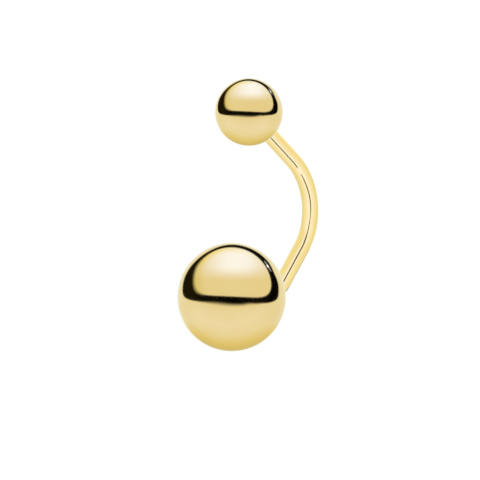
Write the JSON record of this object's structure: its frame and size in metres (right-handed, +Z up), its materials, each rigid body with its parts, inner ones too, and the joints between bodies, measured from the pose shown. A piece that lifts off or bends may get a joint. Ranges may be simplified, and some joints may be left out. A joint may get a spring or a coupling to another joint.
{
  "type": "curved barbell navel ring",
  "caption": "Bent round bar with a small polished ball screwed on its upper end and a large one on its lower end, worn through a navel piercing.",
  "frame": {"origin": "on the surface that the ring lies on, under the middle of its box", "axes": "+X towards the side where the bar bulges, +Y towards the small ball, +Z up"},
  "size_m": [0.0112, 0.0202, 0.008],
  "materials": {
    "gold_bar": "polished yellow gold plating",
    "gold_ball": "mirror-polished yellow gold plating"
  },
  "bodies": {
    "bar": {"curved_bar": "gold_bar"},
    "small_ball": {"top_ball": "gold_ball"},
    "large_ball": {"lower_ball": "gold_ball"}
  },
  "joints": [
    {"name": "top_ball_unscrew", "type": "slide", "parent": "bar", "child": "small_ball", "axis": [-0.7983, 0.5443, 0.2578], "range_m": [0, 0.0028]},
    {"name": "lower_ball_unscrew", "type": "slide", "parent": "bar", "child": "large_ball", "axis": [-0.9057, -0.1869, 0.3805], "range_m": [0, 0.0028]}
  ]
}
